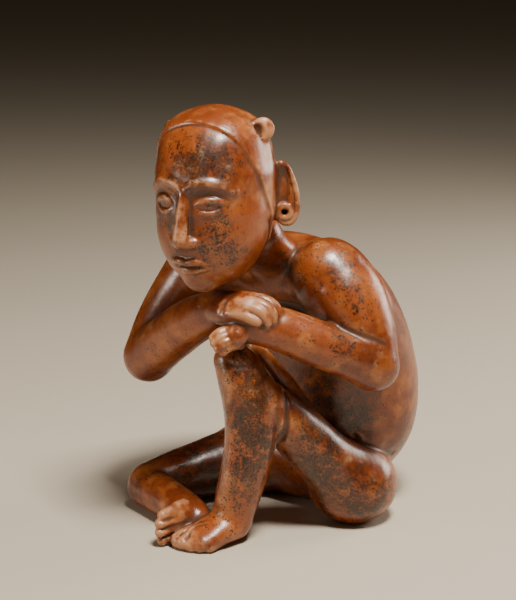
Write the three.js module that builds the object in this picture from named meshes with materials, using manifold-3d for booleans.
// Seated figure in burnished redware, after the hollow figures of Colima.
// Millimetres, +Z up. The figure faces -Y and its left side is towards +X.
// The body is one clay surface: tubes along bent paths and rounded lumps melt
// into each other, the outside of the sum is meshed, thinned to a small number
// of triangles, and cut flat where the figure rests on the ground.
import * as THREE from "three";
import { mergeVertices } from "three/addons/utils/BufferGeometryUtils.js";
import Module from "manifold-3d";

// Clay
const CLAY_COLOR = 0x9a4a26;
const CLAY_ROUGHNESS = 0.35;
const CLAY_METALNESS = 0;

// How the surface is meshed
const GRID_STEP = 2;
const BLOCK_STEPS = 6;
const GRID_LOW = [-116, -112, -8];
const GRID_HIGH = [116, 136, 304];
const TRIANGLE_BUDGET = 9300;
const CELL_DIAGONAL = Math.sqrt(3);
const FAR = 1000;
const REACH = 24;
const PATH_STEPS = 6;
const SETTLE_ROUNDS = 1;
const PINCH_FILL = 0.05;
const SKIRT = 4;
const GROUND_DEPTH = 30;
const GROUND_SIDE = 400;

// Blend lengths, the larger the softer
const SOFT_SHOULDER = 20;
const SOFT_TORSO = 16;
const SOFT_NECK = 14;
const SOFT_ANKLE = 9;
const SOFT_LEG = 8;
const SOFT_CALF = 6;
const SOFT_ARM = 7;
const SOFT_ELBOW = 6;
const SOFT_HEAD = 6;
const SOFT_BROW = 5;
const SOFT_NOSE = 4;
const SOFT_LEFT_TOE = 4.5;
const SOFT_RIGHT_TOE = 1.8;
const SOFT_EAR = 3;
const SOFT_HAND = 2;
const SOFT_DIGIT = 1.5;
const SOFT_LID = 1;

// Rows are x, y, z, half width and half thickness; one half width is enough
// where the section is round.
const TORSO = [
  [0, 60, 28, 58, 44],
  [0, 66, 50, 73, 54],
  [0, 67, 84, 78, 57],
  [0, 58, 125, 74, 51],
  [0, 43, 156, 65, 39],
  [0, 31, 169, 54, 25],
];
const TORSO_END = 0.8;
const SHOULDERS = [
  [-52, 8, 168, 23],
  [-22, 26, 169, 18],
  [22, 29, 170, 18],
  [49, 16, 173, 21.5],
];
const LEFT_BLADE = [
  [47, 16, 168, 22],
  [50, 36, 148, 27],
  [44, 50, 118, 30],
];
const RIGHT_BLADE = [
  [-54, 14, 164, 22],
  [-54, 36, 145, 28],
  [-46, 50, 116, 31],
];
const NECK = [
  [0, 38, 163, 36, 19],
  [2, 16, 177, 23, 14],
  [4, -10, 197, 21, 18],
];
const LEFT_HIP = { centre: [58, 32, 25], radii: [31, 31, 28] };
const RIGHT_HIP = { centre: [-40, 38, 20], radii: [35, 34, 25] };

// Left arm, folded so that the wrist lies over the raised knee
const LEFT_UPPER_ARM = [
  [49, 14, 175, 21.5, 23],
  [57, 17, 168, 22.5, 25],
  [68, 18, 154, 22.5, 24.5],
  [80, 18, 132, 18.5, 20],
  [85, 17, 117, 16, 17],
];
const LEFT_FOREARM = [
  [86, 17, 116, 16, 16.5],
  [75, -1, 126, 15.6],
  [56, -24, 139, 15],
  [43, -39, 146.5, 13.8, 14],
  [31, -51, 149, 12, 12.5],
];
const LEFT_PALM = [
  [31, -54, 147.5, 10.5],
  [30.5, -60, 143, 10, 8],
];
const LEFT_FINGERS = [
  [[28, -60, 145.5, 3.4], [25.5, -67.5, 145.5, 3.3], [22.5, -71.5, 142, 3]],
  [[31, -60, 143, 3.4], [28.5, -69, 143, 3.3], [25, -73, 139, 3]],
  [[33, -60, 140, 3.4], [31, -68.5, 140, 3.3], [27.5, -72.5, 136, 3]],
  [[34, -58, 137, 3.3], [32.5, -66, 137, 3.2], [29.5, -70, 133.5, 2.8]],
];

// Right arm, crossing under the chin so that its hand lies on the left wrist
const RIGHT_UPPER_ARM = [
  [-54, 6, 169, 23, 24],
  [-70, -6, 142, 20, 21],
  [-77, -19, 118, 18, 19],
  [-76, -28, 105, 17, 17.5],
];
const RIGHT_FOREARM = [
  [-76, -29, 104, 17, 17.5],
  [-47, -36, 125, 17],
  [-16, -42, 144, 15.5, 16],
  [8, -47, 154, 12.5, 13],
];
const RIGHT_PALM = [
  [10, -49, 156, 12, 10.5],
  [22, -53, 158.5, 13, 10],
  [35, -51.5, 160, 12, 9],
];
const RIGHT_PALM_ACROSS = [0.2, 0.8, 0.5];
const RIGHT_FINGERS = [
  [[28, -50, 163, 4.2], [41, -45, 165, 4], [49, -41, 160, 3.8], [50, -42, 154, 3.4]],
  [[28, -54, 162, 4.2], [42, -50.5, 163.5, 4], [50, -47, 159, 3.8], [51, -46.5, 153, 3.4]],
  [[28, -57, 160, 4.2], [41, -54.5, 161, 4], [48, -51.5, 157.5, 3.8], [50, -50, 152, 3.4]],
];
const RIGHT_THUMB = [
  [14, -58, 155, 4],
  [25, -61, 157, 3.8],
  [37, -60, 157, 3.6],
  [46, -55.5, 153, 3.2],
];

// Left leg, raised, its foot flat on the ground
const LEFT_THIGH = [
  [62, 28, 27, 26],
  [53, 9, 46, 20.5],
  [44, -9, 67, 18.5],
  [31, -32, 94, 14.5],
  [23.5, -45, 117.5, 12.5],
];
const LEFT_SHIN = [
  [22, -52, 123, 12.5],
  [26.5, -47.5, 106, 15.5],
  [30, -44.5, 88, 16.8],
  [31, -45, 69, 17, 16.5],
  [29.5, -48, 51, 16],
  [26, -51, 33, 15],
  [23, -53, 18, 13.5],
];
const LEFT_FOOT = [
  [22, -55, 11, 13, 11],
  [20, -68, 9.5, 14, 9.5],
  [16, -80, 7, 13.5, 7],
];
const LEFT_TOES = [
  [[5.5, -76, 6.3, 5.4], [4.8, -88.5, 5, 5]],
  [[11, -78, 6, 5], [10.6, -89.5, 4.8, 4.6]],
  [[16.5, -77, 5.6, 4.8], [16.4, -88.3, 4.5, 4.4]],
  [[21.5, -75, 5.2, 4.6], [22, -85.8, 4.2, 4.2]],
  [[25.8, -71, 4.8, 4.5], [27, -81.5, 4, 4]],
];

// Crest along the inner edge of the left thigh
const LEFT_THIGH_CREST = [
  [18, -25, 127, 4.5],
  [26, -17.5, 114, 5],
  [33, -10, 101, 5.5],
  [39, -2, 86.5, 5.5],
  [45, 7, 67, 6],
  [50, 17, 50, 7],
  [58, 32, 38, 9],
];
const TOE_END = 0.8;

// Right leg, folded flat, its foot on edge beside the left foot
const RIGHT_THIGH = [
  [-36, 30, 22, 27, 25],
  [-48, -7, 21, 20.5, 20],
  [-56, -25, 19, 18],
  [-63, -42, 16, 16],
];
const RIGHT_SHIN = [
  [-64, -44, 14.5, 14.5],
  [-35, -53, 14, 14, 13],
  [-12, -60, 12.8, 12.5, 12],
  [4, -63, 9.5, 9.5, 9],
];
const RIGHT_FOOT = [
  [-6, -62, 11.5, 11, 9],
  [-6, -72, 13, 12.5, 8],
  [-5.5, -80, 13, 12.3, 6],
  [-5, -88, 12.8, 11, 4.2],
  [-4.8, -91.5, 12.6, 10, 3.2],
];
const RIGHT_TOES = [
  [[-6.5, -70, 21.5, 4.2], [-5.5, -92, 21, 3.2]],
  [[-6, -70, 16.5, 4.8], [-5, -94.3, 15.6, 3.9]],
  [[-5.5, -70, 10, 4.8], [-4.5, -95, 9.8, 3.9]],
  [[-5, -70, 4.6, 4.4], [-4.5, -93.5, 4.2, 3.6]],
];

// Head, in its own frame: x to the figure's left, y to the back, z up
const HEAD_CENTRE = [4, -47, 229];
const HEAD_TURN = THREE.MathUtils.degToRad(12);
const SKULL = [
  [-1, 1.5, 14, 36.6, 41.8],
  [-0.5, 0.5, 2, 36.8, 41.6],
  [0, -0.5, -8, 36.8, 41],
];
const SKULL_END = 0.5;
const JAW = { at: [0, -3, -14], radii: [36.4, 37.5, 45] };
const JAW_TILT = THREE.MathUtils.degToRad(15);
const DOME = { at: [-1, 1.5, 14], radii: [36.6, 41.8, 42] };
const CROWN = [
  [-15, 3, 32, 27, 20],
  [-2, 3, 33, 29, 20.5],
  [11, 3, 33, 26, 19],
];
const CAP_THICKNESS = 1.6;
const CAP_HEIGHT = -1;
const CAP_SLOPE = 2.1;
const CAP_FADE = [12, 34];
const CAP_EDGE = 2.6;
const LEFT_KNOB = [
  [22, 19, 41, 6],
  [32, 4, 44.5, 7.6],
];
const RIGHT_KNOB = [
  [-25, 19, 37, 6],
  [-37.5, 4, 39.5, 7],
];
const KNOB_END = 0.35;
const KNOB_DISH = { at: [0, -3.5, 0], radii: [4.8, 2.2, 4.8] };
const TEMPLE_RIDGE = [
  [28.5, 7, 36, 5.5],
  [31.5, 6, 14, 4.8],
  [33.2, 4, -8, 3.8],
];

// Face rows are x, z, how far the row stands out of the skull, and radius.
// Half the face is given; the other half mirrors it.
const BROW = [
  [3, 10, -1.2, 3],
  [9, 13.5, -0.8, 3.2],
  [19, 13, -1, 3],
  [27, 8, -1.8, 2.6],
];
const FACE_SPAN = 4;
const EYE_SOCKET = { at: [15.5, 1, 8.5], radii: [11, 11, 8] };
const EYEBALL = { at: [15.5, -0.2, -5.6], radii: [9.4, 6.6, 5.2] };
const NOSE = [
  [0, 10, -1.8, 3.2],
  [0, 0, 0.8, 3.6],
  [0, -12, 3.6, 4.4],
  [0, -21, 5.2, 5.2],
];
const NOSTRILS = [
  [-7.5, -24, -0.5, 3],
  [0, -23.5, 3.2, 4.2],
  [7.5, -24, -0.5, 3],
];
const UPPER_LIP = [
  [-13, -38, -1.4, 1.6],
  [-6, -36.4, 0.4, 2.5],
  [0, -37.2, 0.8, 2.4],
  [6, -36.4, 0.4, 2.5],
  [13, -38, -1.4, 1.6],
];
const LOWER_LIP = [
  [-11, -40.6, -1.2, 1.6],
  [0, -42.4, 0.6, 3],
  [11, -40.6, -1.2, 1.6],
];
const CHIN = { at: [0, -52, -7], radii: [12, 9, 8] };

// Ear plate, in its own frame: across, out of its face, up
const EAR_CENTRE = [39, 20, 3];
const EAR_OUT = [0.48, -0.877, 0];
const EAR_ACROSS = [0.877, 0.48, 0];
const EAR_PLATE = [
  [-3.5, -1, 14, 5.5, 3.5],
  [-1, -1, 4, 8, 4],
  [0.5, -1, -8, 9, 4],
  [0.5, -1, -14, 8, 4],
];
const EAR_PLATE_END = 1.6;
const EAR_RIM = {
  halfWidth: 8,
  halfHeight: 19.5,
  drop: 1,
  lean: 2,
  taper: 0.18,
  out: 1.2,
  radius: 2,
};
const EAR_DISH = { at: [-0.6, 3.2, 2], radii: [5.4, 2.8, 16] };
const EAR_RING = { at: [0.5, 1.8, -13], radius: 4.1, wire: 2.2 };
const RIM_POINTS = 12;
const RING_POINTS = 6;

// Smooth union of two distances, and one carved out of the other
function melt(a, b, k) {
  const h = Math.max(k - Math.abs(a - b), 0) / k;
  return Math.min(a, b) - (h * h * h * k) / 6;
}
function carve(a, b, k) {
  return -melt(-a, b, k);
}

// Natural cubic spline through rows: samples, and their change per sample
function spline(rows, steps) {
  const last = rows.length - 1;
  const bend = rows.map((row) => row.map(() => 0));
  const pivot = rows.map(() => 4);
  for (let i = 1; i < last; i++) {
    const carry = i > 1 ? 1 / pivot[i - 1] : 0;
    pivot[i] = 4 - carry;
    bend[i] = rows[i].map(
      (v, c) => 6 * (rows[i + 1][c] - 2 * v + rows[i - 1][c]) - carry * bend[i - 1][c],
    );
  }
  for (let i = last - 1; i > 0; i--) {
    bend[i] = bend[i].map((v, c) => (v - bend[i + 1][c]) / pivot[i]);
  }
  const points = [];
  const slopes = [];
  for (let j = 0; j <= last * steps; j++) {
    const i = Math.min(Math.floor(j / steps), last - 1);
    const t = j / steps - i;
    const u = 1 - t;
    points.push(
      rows[i].map(
        (v, c) =>
          u * v +
          t * rows[i + 1][c] +
          ((u ** 3 - u) * bend[i][c] + (t ** 3 - t) * bend[i + 1][c]) / 6,
      ),
    );
    slopes.push(
      rows[i].map(
        (v, c) =>
          (rows[i + 1][c] -
            v +
            ((1 - 3 * u * u) * bend[i][c] + (3 * t * t - 1) * bend[i + 1][c]) / 6) /
          steps,
      ),
    );
  }
  return { points, slopes };
}

// First-order distance to an ellipsoid, from offsets along its three axes
function ellipsoidDistance(a, b, c, ra, rb, rc) {
  const near = Math.hypot(a / ra, b / rb, c / rc) + 1e-9;
  const steep = Math.hypot(a / (ra * ra), b / (rb * rb), c / (rc * rc)) + 1e-9;
  return (near * (near - 1)) / steep;
}

// A shape answers with its distance, or FAR outside its box
function boxed(low, high, distance) {
  return (x, y, z) =>
    x < low[0] - REACH ||
    y < low[1] - REACH ||
    z < low[2] - REACH ||
    x > high[0] + REACH ||
    y > high[1] + REACH ||
    z > high[2] + REACH
      ? FAR
      : distance(x, y, z);
}

// Tube along a bent path with an elliptical section; "across" is the direction
// of the half width, and "end" the length of the caps in half thicknesses
function tube(rows, { across = [1, 0, 0], end = 1 } = {}) {
  const full = rows.map((r) => (r.length === 4 ? [...r, r[3]] : r));
  const { points, slopes } = spline(full, PATH_STEPS);
  const last = points.length - 1;
  const widest = Math.max(...points.map((p) => Math.max(p[3], p[4])));
  const low = [0, 1, 2].map((c) => Math.min(...points.map((p) => p[c])) - widest);
  const high = [0, 1, 2].map((c) => Math.max(...points.map((p) => p[c])) + widest);
  const P = Float64Array.from(points.flat());
  const S = Float64Array.from(slopes.flat());
  const at = new Float64Array(5);
  const along = new Float64Array(3);
  const turn = new Float64Array(3);
  const place = (s) => {
    const i = Math.min(Math.floor(s), last - 1);
    const t = s - i;
    const h1 = t * t * (3 - 2 * t);
    const h2 = t * (t - 1) * (t - 1);
    const h3 = t * t * (t - 1);
    for (let c = 0; c < 5; c++) {
      const a = 5 * i + c;
      const rise = P[a + 5] - P[a];
      at[c] = P[a] + h1 * rise + h2 * S[a] + h3 * S[a + 5];
      if (c < 3) {
        along[c] = 6 * t * (1 - t) * rise + (3 * t - 1) * (t - 1) * S[a] + t * (3 * t - 2) * S[a + 5];
        turn[c] = S[a + 5] - S[a];
      }
    }
  };
  return boxed(low, high, (x, y, z) => {
    let s = 0;
    let least = Infinity;
    for (let i = 0; i <= last; i++) {
      const d = (x - P[5 * i]) ** 2 + (y - P[5 * i + 1]) ** 2 + (z - P[5 * i + 2]) ** 2;
      if (d < least) {
        least = d;
        s = i;
      }
    }
    for (let round = 0; round < 2; round++) {
      place(s);
      const [u, v, w] = [x - at[0], y - at[1], z - at[2]];
      const speed = along[0] ** 2 + along[1] ** 2 + along[2] ** 2;
      const curve = u * turn[0] + v * turn[1] + w * turn[2];
      const step = (u * along[0] + v * along[1] + w * along[2]) / Math.max(speed - curve, 0.35 * speed);
      s = Math.min(Math.max(s + Math.min(Math.max(step, -1.5), 1.5), 0), last);
    }
    place(s);
    const [u, v, w] = [x - at[0], y - at[1], z - at[2]];
    const speed = Math.hypot(along[0], along[1], along[2]);
    const [tx, ty, tz] = [along[0] / speed, along[1] / speed, along[2] / speed];
    const lean = across[0] * tx + across[1] * ty + across[2] * tz;
    let [wx, wy, wz] = [across[0] - lean * tx, across[1] - lean * ty, across[2] - lean * tz];
    const size = Math.hypot(wx, wy, wz);
    [wx, wy, wz] = [wx / size, wy / size, wz / size];
    const lengthwise = u * tx + v * ty + w * tz;
    const sideways = u * wx + v * wy + w * wz;
    const rest = u * u + v * v + w * w - lengthwise ** 2 - sideways ** 2;
    return ellipsoidDistance(
      sideways,
      Math.sqrt(Math.max(rest, 0)),
      lengthwise,
      at[3],
      at[4],
      Math.min(at[3], at[4]) * end,
    );
  });
}

// Ellipsoid with its radii along three axes
function lump(centre, radii, axes = [[1, 0, 0], [0, 1, 0], [0, 0, 1]]) {
  const widest = Math.max(...radii);
  const low = centre.map((c) => c - widest);
  const high = centre.map((c) => c + widest);
  return boxed(low, high, (x, y, z) => {
    const v = [x - centre[0], y - centre[1], z - centre[2]];
    const [a, b, c] = axes.map((axis) => axis[0] * v[0] + axis[1] * v[1] + axis[2] * v[2]);
    return ellipsoidDistance(a, b, c, ...radii);
  });
}

// Several shapes melted into one
function together(k, ...shapes) {
  return (x, y, z) => shapes.reduce((d, shape) => melt(d, shape(x, y, z), k), FAR);
}

// Head frame to figure frame
const HEAD_AXES = [
  [Math.cos(HEAD_TURN), Math.sin(HEAD_TURN), 0],
  [-Math.sin(HEAD_TURN), Math.cos(HEAD_TURN), 0],
  [0, 0, 1],
];
const turned = (v) => [0, 1, 2].map((c) => HEAD_AXES.reduce((sum, axis, i) => sum + v[i] * axis[c], 0));
const onHead = (v) => turned(v).map((value, c) => value + HEAD_CENTRE[c]);
const headTube = (rows, { across = [1, 0, 0], ...rest } = {}) =>
  tube(
    rows.map(([x, y, z, ...radii]) => [...onHead([x, y, z]), ...radii]),
    { across: turned(across), ...rest },
  );
const mirrored = (rows) => rows.map(([x, ...rest]) => [-x, ...rest]);

const JAW_AXES = [
  [1, 0, 0],
  [0, Math.cos(JAW_TILT), -Math.sin(JAW_TILT)],
  [0, Math.sin(JAW_TILT), Math.cos(JAW_TILT)],
].map(turned);
const skull = together(
  SOFT_HEAD,
  headTube(SKULL, { end: SKULL_END }),
  lump(onHead(DOME.at), DOME.radii, HEAD_AXES),
  lump(onHead(JAW.at), JAW.radii, JAW_AXES),
);
const crown = headTube(CROWN, { across: [0, 1, 0] });

// Front of the skull at a place on the face, found by halving
function faceDepth(x, z) {
  let front = -70;
  let back = 0;
  for (let i = 0; i < 30; i++) {
    const middle = (front + back) / 2;
    if (skull(...onHead([x, middle, z])) > 0) front = middle;
    else back = middle;
  }
  return front;
}
const faceTube = (rows) =>
  headTube(rows.map(([x, z, out, radius]) => [x, faceDepth(x, z) - out, z, radius]));
function faceLump({ at: [distance, z, out], radii }, side = 1) {
  const x = side * distance;
  const rise = faceDepth(x + FACE_SPAN, z) - faceDepth(x - FACE_SPAN, z);
  const slope = Math.atan2(rise, 2 * FACE_SPAN);
  const along = [Math.cos(slope), Math.sin(slope), 0];
  const inward = [-Math.sin(slope), Math.cos(slope), 0];
  const centre = [x - out * inward[0], faceDepth(x, z) - out * inward[1], z];
  return lump(onHead(centre), radii, [along, inward, [0, 0, 1]].map(turned));
}
const bothSides = (rows) => [faceTube(rows), faceTube(mirrored(rows))];

// Head: skull, cap, ridges and knobs, then the face, without the ears
function makeHead() {
  const ridges = [headTube(TEMPLE_RIDGE), headTube(mirrored(TEMPLE_RIDGE))];
  const knobs = [LEFT_KNOB, RIGHT_KNOB].map((rows) => headTube(rows, { end: KNOB_END }));
  const hollows = [LEFT_KNOB, RIGHT_KNOB].map(([, front]) =>
    lump(onHead(KNOB_DISH.at.map((value, c) => value + front[c])), KNOB_DISH.radii, HEAD_AXES),
  );
  const brows = together(SOFT_LID, ...bothSides(BROW));
  const sockets = together(SOFT_LID, faceLump(EYE_SOCKET), faceLump(EYE_SOCKET, -1));
  const eyes = together(SOFT_LID, faceLump(EYEBALL), faceLump(EYEBALL, -1));
  const nose = together(SOFT_HAND, faceTube(NOSE), faceTube(NOSTRILS));
  const chin = faceLump(CHIN);
  const lips = together(SOFT_LID, faceTube(UPPER_LIP), faceTube(LOWER_LIP));
  return (x, y, z) => {
    const bare = melt(skull(x, y, z), crown(x, y, z), SOFT_NECK);
    if (bare > REACH) return bare;
    const v = [x, y, z].map((value, c) => value - HEAD_CENTRE[c]);
    const back = HEAD_AXES[1].reduce((sum, value, c) => sum + value * v[c], 0);
    const below = (CAP_HEIGHT - v[2] - CAP_SLOPE * back) / Math.hypot(1, CAP_SLOPE);
    const thick = CAP_THICKNESS * (1 - THREE.MathUtils.smoothstep(back, ...CAP_FADE));
    let d = melt(bare, -melt(thick - bare, -below, CAP_EDGE), SOFT_DIGIT);
    for (const ridge of ridges) d = melt(d, ridge(x, y, z), SOFT_HEAD);
    for (const knob of knobs) d = melt(d, knob(x, y, z), SOFT_EAR);
    for (const hollow of hollows) d = carve(d, hollow(x, y, z), SOFT_DIGIT);
    d = melt(d, brows(x, y, z), SOFT_BROW);
    d = carve(d, sockets(x, y, z), SOFT_NOSE);
    d = melt(d, eyes(x, y, z), SOFT_DIGIT);
    d = melt(d, nose(x, y, z), SOFT_NOSE);
    d = melt(d, chin(x, y, z), SOFT_HEAD);
    return melt(d, lips(x, y, z), SOFT_HAND);
  };
}

// Ear: a long plate with a raised rim, a hollow, and a ring in the lobe
function makeEar(side) {
  const flip = ([x, ...rest]) => [side * x, ...rest];
  const [across, out] = [flip(EAR_ACROSS), flip(EAR_OUT)];
  const centre = flip(EAR_CENTRE);
  const at = ([a, o, up]) => [
    centre[0] + a * across[0] + o * out[0],
    centre[1] + a * across[1] + o * out[1],
    centre[2] + up,
  ];
  const plate = headTube(
    EAR_PLATE.map(([a, o, up, ...radii]) => [...at([a, o, up]), ...radii]),
    { across, end: EAR_PLATE_END },
  );
  const round = (count, point, radius) => {
    const rows = [];
    for (let i = 0; i <= count; i++) {
      const angle = (2 * Math.PI * i) / count;
      rows.push([...at(point(Math.sin(angle), Math.cos(angle))), radius]);
    }
    return headTube(rows);
  };
  const rim = round(
    RIM_POINTS,
    (s, c) => [
      EAR_RIM.halfWidth * s * (1 - EAR_RIM.taper * c) - EAR_RIM.lean * c,
      EAR_RIM.out,
      EAR_RIM.halfHeight * c - EAR_RIM.drop,
    ],
    EAR_RIM.radius,
  );
  const dish = lump(onHead(at(EAR_DISH.at)), EAR_DISH.radii, [turned(across), turned(out), [0, 0, 1]]);
  const [ra, ro, rz] = EAR_RING.at;
  const ring = round(
    RING_POINTS,
    (s, c) => [ra + EAR_RING.radius * s, ro, rz + EAR_RING.radius * c],
    EAR_RING.wire,
  );
  return (x, y, z) => {
    let d = melt(plate(x, y, z), rim(x, y, z), SOFT_HAND);
    if (d > REACH) return d;
    d = carve(d, dish(x, y, z), SOFT_DIGIT);
    return melt(d, ring(x, y, z), SOFT_LID);
  };
}

// Limbs
const upright = { across: [0, 0, 1] };
const tubes = (list, k, shape) => together(k, ...list.map((rows) => tube(rows, shape)));
const toes = (list, k) => tubes(list, k, { end: TOE_END });
const trunk = together(
  SOFT_SHOULDER,
  tube(TORSO, { end: TORSO_END }),
  tube(SHOULDERS),
  tube(LEFT_BLADE),
  tube(RIGHT_BLADE),
);
const hips = [LEFT_HIP, RIGHT_HIP].map(({ centre, radii }) => lump(centre, radii));
const leftArm = together(SOFT_ELBOW, tube(LEFT_UPPER_ARM), tube(LEFT_FOREARM));
const leftHand = together(SOFT_HAND, tube(LEFT_PALM), tubes(LEFT_FINGERS, SOFT_DIGIT));
const rightArm = together(SOFT_ELBOW, tube(RIGHT_UPPER_ARM), tube(RIGHT_FOREARM));
const rightHand = together(
  SOFT_HAND,
  tube(RIGHT_PALM, { across: RIGHT_PALM_ACROSS }),
  tubes([...RIGHT_FINGERS, RIGHT_THUMB], SOFT_DIGIT),
);
const leftFoot = together(SOFT_EAR, tube(LEFT_FOOT), toes(LEFT_TOES, SOFT_LEFT_TOE));
const leftLimb = together(SOFT_CALF, tube(LEFT_THIGH), tube(LEFT_SHIN));
const leftLeg = together(
  SOFT_ANKLE,
  together(SOFT_LEG, leftLimb, tube(LEFT_THIGH_CREST)),
  leftFoot,
);
const rightFoot = together(SOFT_EAR, tube(RIGHT_FOOT, upright), toes(RIGHT_TOES, SOFT_RIGHT_TOE));
const rightLeg = together(
  SOFT_LEG,
  together(SOFT_HAND, tube(RIGHT_THIGH, upright), tube(RIGHT_SHIN, upright)),
  rightFoot,
);
const head = together(SOFT_EAR, makeHead(), makeEar(1), makeEar(-1));
const neck = tube(NECK);

// The whole figure as one distance
function clay(x, y, z) {
  let d = melt(trunk(x, y, z), neck(x, y, z), SOFT_NECK);
  for (const hip of hips) d = melt(d, hip(x, y, z), SOFT_TORSO);
  d = melt(d, leftArm(x, y, z), SOFT_ARM);
  d = melt(d, rightArm(x, y, z), SOFT_ARM);
  d = melt(d, rightHand(x, y, z), SOFT_HAND);
  d = melt(d, leftLeg(x, y, z), SOFT_LEG);
  d = melt(d, leftHand(x, y, z), SOFT_HAND);
  d = melt(d, rightLeg(x, y, z), SOFT_BROW);
  d = melt(d, head(x, y, z), SOFT_HEAD);
  return Math.max(d, -SKIRT - z);
}

// Distances on a grid: exact in blocks the surface may cross, only the sign
// elsewhere
function sampleGrid() {
  const blocks = GRID_LOW.map((low, c) =>
    Math.ceil((GRID_HIGH[c] - low) / (GRID_STEP * BLOCK_STEPS)),
  );
  const count = blocks.map((n) => n * BLOCK_STEPS + 1);
  const index = (i, j, k) => (i * count[1] + j) * count[2] + k;
  const values = new Float64Array(count[0] * count[1] * count[2]);
  const known = new Uint8Array(values.length);
  const place = (i, c) => GRID_LOW[c] + i * GRID_STEP;
  const half = (GRID_STEP * BLOCK_STEPS * CELL_DIAGONAL) / 2;
  const eachPoint = (block, visit) => {
    const [bi, bj, bk] = block.map((b) => b * BLOCK_STEPS);
    for (let i = bi; i <= bi + BLOCK_STEPS; i++) {
      for (let j = bj; j <= bj + BLOCK_STEPS; j++) {
        for (let k = bk; k <= bk + BLOCK_STEPS; k++) visit(i, j, k, index(i, j, k));
      }
    }
  };
  const crossed = [];
  for (let i = 0; i < blocks[0]; i++) {
    for (let j = 0; j < blocks[1]; j++) {
      for (let k = 0; k < blocks[2]; k++) {
        const middle = [i, j, k].map((b, c) => place((b + 0.5) * BLOCK_STEPS, c));
        const d = clay(...middle);
        if (Math.abs(d) < half * 1.3) crossed.push([i, j, k]);
        eachPoint([i, j, k], (a, b, c, at) => {
          values[at] = Math.sign(d) * FAR;
        });
      }
    }
  }
  for (const block of crossed) {
    eachPoint(block, (i, j, k, at) => {
      if (known[at]) return;
      known[at] = 1;
      values[at] = clay(place(i, 0), place(j, 1), place(k, 2));
    });
  }
  return { values, count, index, place };
}

// Where a square of the grid has clay at two opposite corners only, the thinner
// gap is filled, so that the surface doesn't touch itself along an edge
function fillPinches({ values, count, index }) {
  const squares = [[[1, 0, 0], [0, 1, 0]], [[0, 1, 0], [0, 0, 1]], [[0, 0, 1], [1, 0, 0]]];
  for (let filled = true; filled; ) {
    filled = false;
    for (let i = 0; i < count[0] - 1; i++) {
      for (let j = 0; j < count[1] - 1; j++) {
        for (let k = 0; k < count[2] - 1; k++) {
          for (const [u, v] of squares) {
            const ring = [
              index(i, j, k),
              index(i + u[0], j + u[1], k + u[2]),
              index(i + u[0] + v[0], j + u[1] + v[1], k + u[2] + v[2]),
              index(i + v[0], j + v[1], k + v[2]),
            ];
            const clayAt = ring.map((at) => values[at] < 0);
            if (clayAt[0] !== clayAt[2] || clayAt[1] !== clayAt[3] || clayAt[0] === clayAt[1]) continue;
            const [a, b] = clayAt[0] ? [ring[1], ring[3]] : [ring[0], ring[2]];
            values[values[a] < values[b] ? a : b] = -PINCH_FILL;
            filled = true;
          }
        }
      }
    }
  }
}

// One vertex in each cell the surface crosses, one pair of triangles around
// each grid edge it crosses
function netSurface({ values, count, index, place }) {
  const vertexOf = new Int32Array(values.length).fill(-1);
  const points = [];
  const corners = [];
  for (let n = 0; n < 8; n++) corners.push([n & 1, (n >> 1) & 1, (n >> 2) & 1]);
  for (let i = 0; i < count[0] - 1; i++) {
    for (let j = 0; j < count[1] - 1; j++) {
      for (let k = 0; k < count[2] - 1; k++) {
        const inside = corners.map(([a, b, c]) => values[index(i + a, j + b, k + c)] < 0);
        if (inside.every((v) => v === inside[0])) continue;
        const sum = [0, 0, 0];
        let crossings = 0;
        for (let n = 0; n < 8; n++) {
          for (let axis = 0; axis < 3; axis++) {
            const m = n | (1 << axis);
            if (m === n || inside[n] === inside[m]) continue;
            const [a, b, c] = corners[n];
            const [d, e, f] = corners[m];
            const from = values[index(i + a, j + b, k + c)];
            const to = values[index(i + d, j + e, k + f)];
            const t = from / (from - to);
            corners[n].forEach((corner, x) => {
              sum[x] += corner + (x === axis ? t : 0);
            });
            crossings++;
          }
        }
        vertexOf[index(i, j, k)] = points.length;
        points.push([i, j, k].map((cell, x) => place(cell + sum[x] / crossings, x)));
      }
    }
  }
  const triangles = [];
  for (let i = 1; i < count[0] - 1; i++) {
    for (let j = 1; j < count[1] - 1; j++) {
      for (let k = 1; k < count[2] - 1; k++) {
        for (let axis = 0; axis < 3; axis++) {
          const cell = [i, j, k];
          const next = cell.map((v, x) => v + (x === axis ? 1 : 0));
          const inside = values[index(...cell)] < 0;
          if (inside === values[index(...next)] < 0) continue;
          const [u, v] = [(axis + 1) % 3, (axis + 2) % 3];
          const ring = [[-1, -1], [0, -1], [0, 0], [-1, 0]].map(([du, dv]) => {
            const c = [...cell];
            c[u] += du;
            c[v] += dv;
            return vertexOf[index(...c)];
          });
          if (!inside) ring.reverse();
          triangles.push([ring[0], ring[1], ring[2]], [ring[0], ring[2], ring[3]]);
        }
      }
    }
  }
  return { points, triangles };
}

// Moves the vertices onto the surface itself
function settle(points, rounds) {
  const probe = 0.2;
  for (const p of points) {
    for (let round = 0; round < rounds; round++) {
      const d = clay(...p);
      const slope = [0, 1, 2].map((c) => {
        const [ahead, behind] = [[...p], [...p]];
        ahead[c] += probe;
        behind[c] -= probe;
        return (clay(...ahead) - clay(...behind)) / (2 * probe);
      });
      const steep = Math.max(slope.reduce((sum, v) => sum + v * v, 0), 0.25);
      const step = Math.min(Math.max(d / steep, -GRID_STEP), GRID_STEP);
      slope.forEach((v, c) => {
        p[c] -= step * v;
      });
    }
  }
}

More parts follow.
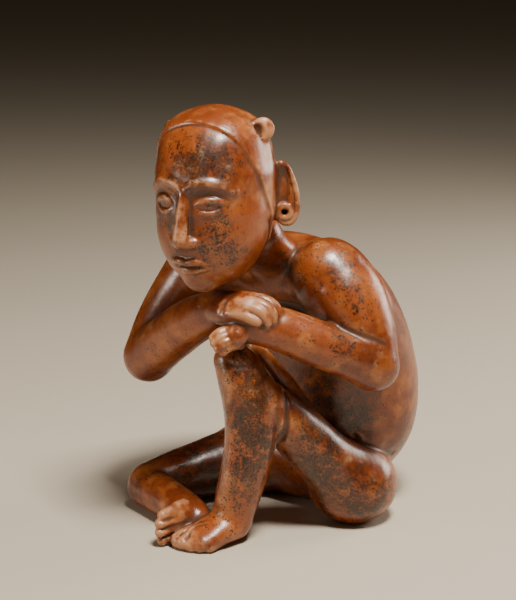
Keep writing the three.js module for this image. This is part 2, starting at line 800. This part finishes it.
// The triangles that hang together with the most others
function largestBody({ points, triangles }) {
  const parent = points.map((_, i) => i);
  const root = (i) => {
    while (parent[i] !== i) {
      parent[i] = parent[parent[i]];
      i = parent[i];
    }
    return i;
  };
  for (const [a, b, c] of triangles) {
    parent[root(a)] = root(b);
    parent[root(b)] = root(c);
  }
  const size = new Map();
  for (const [a] of triangles) size.set(root(a), (size.get(root(a)) ?? 0) + 1);
  const [body] = [...size].sort((a, b) => b[1] - a[1])[0];
  return { points, triangles: triangles.filter(([a]) => root(a) === body) };
}

const minus = (a, b) => [a[0] - b[0], a[1] - b[1], a[2] - b[2]];
const dot = (a, b) => a[0] * b[0] + a[1] * b[1] + a[2] * b[2];
const cross = (a, b) => [
  a[1] * b[2] - a[2] * b[1],
  a[2] * b[0] - a[0] * b[2],
  a[0] * b[1] - a[1] * b[0],
];
const normalOf = (a, b, c) => cross(minus(b, a), minus(c, a));

// Heap of edges, the cheapest on top
class Heap {
  items = [];
  push(item) {
    const list = this.items;
    let i = list.push(item) - 1;
    while (i > 0) {
      const up = (i - 1) >> 1;
      if (list[up].cost <= item.cost) break;
      list[i] = list[up];
      i = up;
    }
    list[i] = item;
  }
  pop() {
    const list = this.items;
    const top = list[0];
    const item = list.pop();
    if (!list.length) return top;
    let i = 0;
    for (;;) {
      let child = 2 * i + 1;
      if (child >= list.length) break;
      if (child + 1 < list.length && list[child + 1].cost < list[child].cost) child++;
      if (list[child].cost >= item.cost) break;
      list[i] = list[child];
      i = child;
    }
    list[i] = item;
    return top;
  }
}

// Sums of squared distances to planes, as the ten numbers of a symmetric form
function planeForm(n, offset, weight) {
  const [a, b, c] = n;
  const d = offset;
  return [a * a, a * b, a * c, a * d, b * b, b * c, b * d, c * c, c * d, d * d].map((v) => v * weight);
}
function formAt(q, [x, y, z]) {
  return (
    q[0] * x * x + q[4] * y * y + q[7] * z * z + q[9] +
    2 * (q[1] * x * y + q[2] * x * z + q[3] * x + q[5] * y * z + q[6] * y + q[8] * z)
  );
}
function lowestPoint(q) {
  const det =
    q[0] * (q[4] * q[7] - q[5] * q[5]) -
    q[1] * (q[1] * q[7] - q[5] * q[2]) +
    q[2] * (q[1] * q[5] - q[4] * q[2]);
  const size = q[0] + q[4] + q[7];
  if (Math.abs(det) < 1e-5 * size ** 3) return null;
  const [a, b, c] = [-q[3], -q[6], -q[8]];
  const xx = q[4] * q[7] - q[5] * q[5];
  const yy = q[0] * q[7] - q[2] * q[2];
  const zz = q[0] * q[4] - q[1] * q[1];
  const xy = q[2] * q[5] - q[1] * q[7];
  const xz = q[1] * q[5] - q[2] * q[4];
  const yz = q[1] * q[2] - q[0] * q[5];
  return [
    (a * xx + b * xy + c * xz) / det,
    (a * xy + b * yy + c * yz) / det,
    (a * xz + b * yz + c * zz) / det,
  ];
}

// Closes the cheapest edges until the triangles are within the budget, without
// folding the surface or pinching it
function thin({ points, triangles }, budget) {
  const forms = points.map(() => new Array(10).fill(0));
  const around = points.map(() => new Set());
  const stamp = points.map(() => 0);
  triangles.forEach((corners, f) => {
    const [a, b, c] = corners.map((v) => points[v]);
    const n = normalOf(a, b, c);
    const size = Math.hypot(...n) || 1;
    const unit = n.map((v) => v / size);
    const form = planeForm(unit, -dot(unit, a), size);
    for (const v of corners) {
      around[v].add(f);
      form.forEach((value, i) => {
        forms[v][i] += value;
      });
    }
  });
  const neighbours = (v) => {
    const found = new Set();
    for (const f of around[v]) for (const w of triangles[f]) if (w !== v) found.add(w);
    return found;
  };
  const heap = new Heap();
  const offer = (a, b) => {
    const form = forms[a].map((value, i) => value + forms[b][i]);
    const middle = points[a].map((value, c) => (value + points[b][c]) / 2);
    const length = Math.hypot(...minus(points[a], points[b]));
    const best = lowestPoint(form);
    const place = best && Math.hypot(...minus(best, middle)) < length ? best : middle;
    const cost = Math.max(formAt(form, place), 0) + 1e-6 * length ** 2;
    heap.push({ cost, a, b, place, form, stamps: stamp[a] + stamp[b] });
  };
  const keepsShape = (v, other, place) => {
    for (const f of around[v]) {
      const corners = triangles[f];
      if (corners.includes(other)) continue;
      const before = normalOf(...corners.map((w) => points[w]));
      const after = normalOf(...corners.map((w) => (w === v ? place : points[w])));
      const sizes = Math.hypot(...before) * Math.hypot(...after);
      if (dot(before, after) < 0.35 * sizes || Math.hypot(...after) < 1e-3) return false;
    }
    return true;
  };
  points.forEach((_, v) => {
    for (const w of neighbours(v)) if (v < w) offer(v, w);
  });
  let left = triangles.length;
  while (left > budget && heap.items.length) {
    const { a, b, place, form, stamps } = heap.pop();
    if (!around[a].size || !around[b].size || stamps !== stamp[a] + stamp[b]) continue;
    const near = neighbours(a);
    if (!near.has(b)) continue;
    const shared = [...neighbours(b)].filter((w) => near.has(w));
    if (shared.length !== 2 || !keepsShape(a, b, place) || !keepsShape(b, a, place)) continue;
    for (const f of [...around[b]]) {
      const corners = triangles[f];
      if (corners.includes(a)) {
        corners.forEach((w) => around[w].delete(f));
        triangles[f] = null;
        left--;
      } else {
        corners[corners.indexOf(b)] = a;
        around[a].add(f);
      }
    }
    around[b].clear();
    points[a] = place;
    forms[a] = form;
    stamp[a]++;
    for (const w of neighbours(a)) offer(a, w);
  }
  return { points, triangles: triangles.filter(Boolean) };
}

// Solids for joining and cutting
const wasm = await Module();
wasm.setup();
function solidFrom({ points, triangles }) {
  const used = new Map();
  const vertices = [];
  const faces = triangles.flat().map((v) => {
    if (!used.has(v)) {
      used.set(v, used.size);
      vertices.push(...points[v]);
    }
    return used.get(v);
  });
  return new wasm.Manifold(
    new wasm.Mesh({
      numProp: 3,
      vertProperties: Float32Array.from(vertices),
      triVerts: Uint32Array.from(faces),
    }),
  );
}
function boxSolid(width, depth, height, [x, y, z]) {
  const box = mergeVertices(
    new THREE.BoxGeometry(width, depth, height).deleteAttribute("normal").deleteAttribute("uv"),
  ).translate(x, y, z);
  return new wasm.Manifold(
    new wasm.Mesh({
      numProp: 3,
      vertProperties: new Float32Array(box.attributes.position.array),
      triVerts: new Uint32Array(box.index.array),
    }),
  );
}
function geometryOf(solid) {
  const { numProp, numVert, vertProperties, triVerts } = solid.getMesh();
  const positions = new Float32Array(3 * numVert);
  for (let i = 0; i < numVert; i++) {
    positions.set(vertProperties.subarray(i * numProp, i * numProp + 3), 3 * i);
  }
  const geometry = new THREE.BufferGeometry()
    .setAttribute("position", new THREE.BufferAttribute(positions, 3))
    .setIndex(new THREE.BufferAttribute(new Uint32Array(triVerts), 1));
  geometry.computeVertexNormals();
  return geometry;
}

const grid = sampleGrid();
fillPinches(grid);
const surface = largestBody(netSurface(grid));
settle(surface.points, SETTLE_ROUNDS);
const ground = boxSolid(GROUND_SIDE, GROUND_SIDE, GROUND_DEPTH, [0, 0, -GROUND_DEPTH / 2]);
const figure = solidFrom(thin(surface, TRIANGLE_BUDGET)).subtract(ground);

const mesh = new THREE.Mesh(
  geometryOf(figure),
  new THREE.MeshStandardMaterial({
    color: CLAY_COLOR,
    roughness: CLAY_ROUGHNESS,
    metalness: CLAY_METALNESS,
  }),
);
mesh.name = "seated_figure";
mesh.geometry.computeBoundingBox();
const middle = mesh.geometry.boundingBox.getCenter(new THREE.Vector3());
mesh.position.set(-middle.x, -middle.y, 0);
const group = new THREE.Group();
group.name = "colima_seated_figure";
group.add(mesh);
export default group;
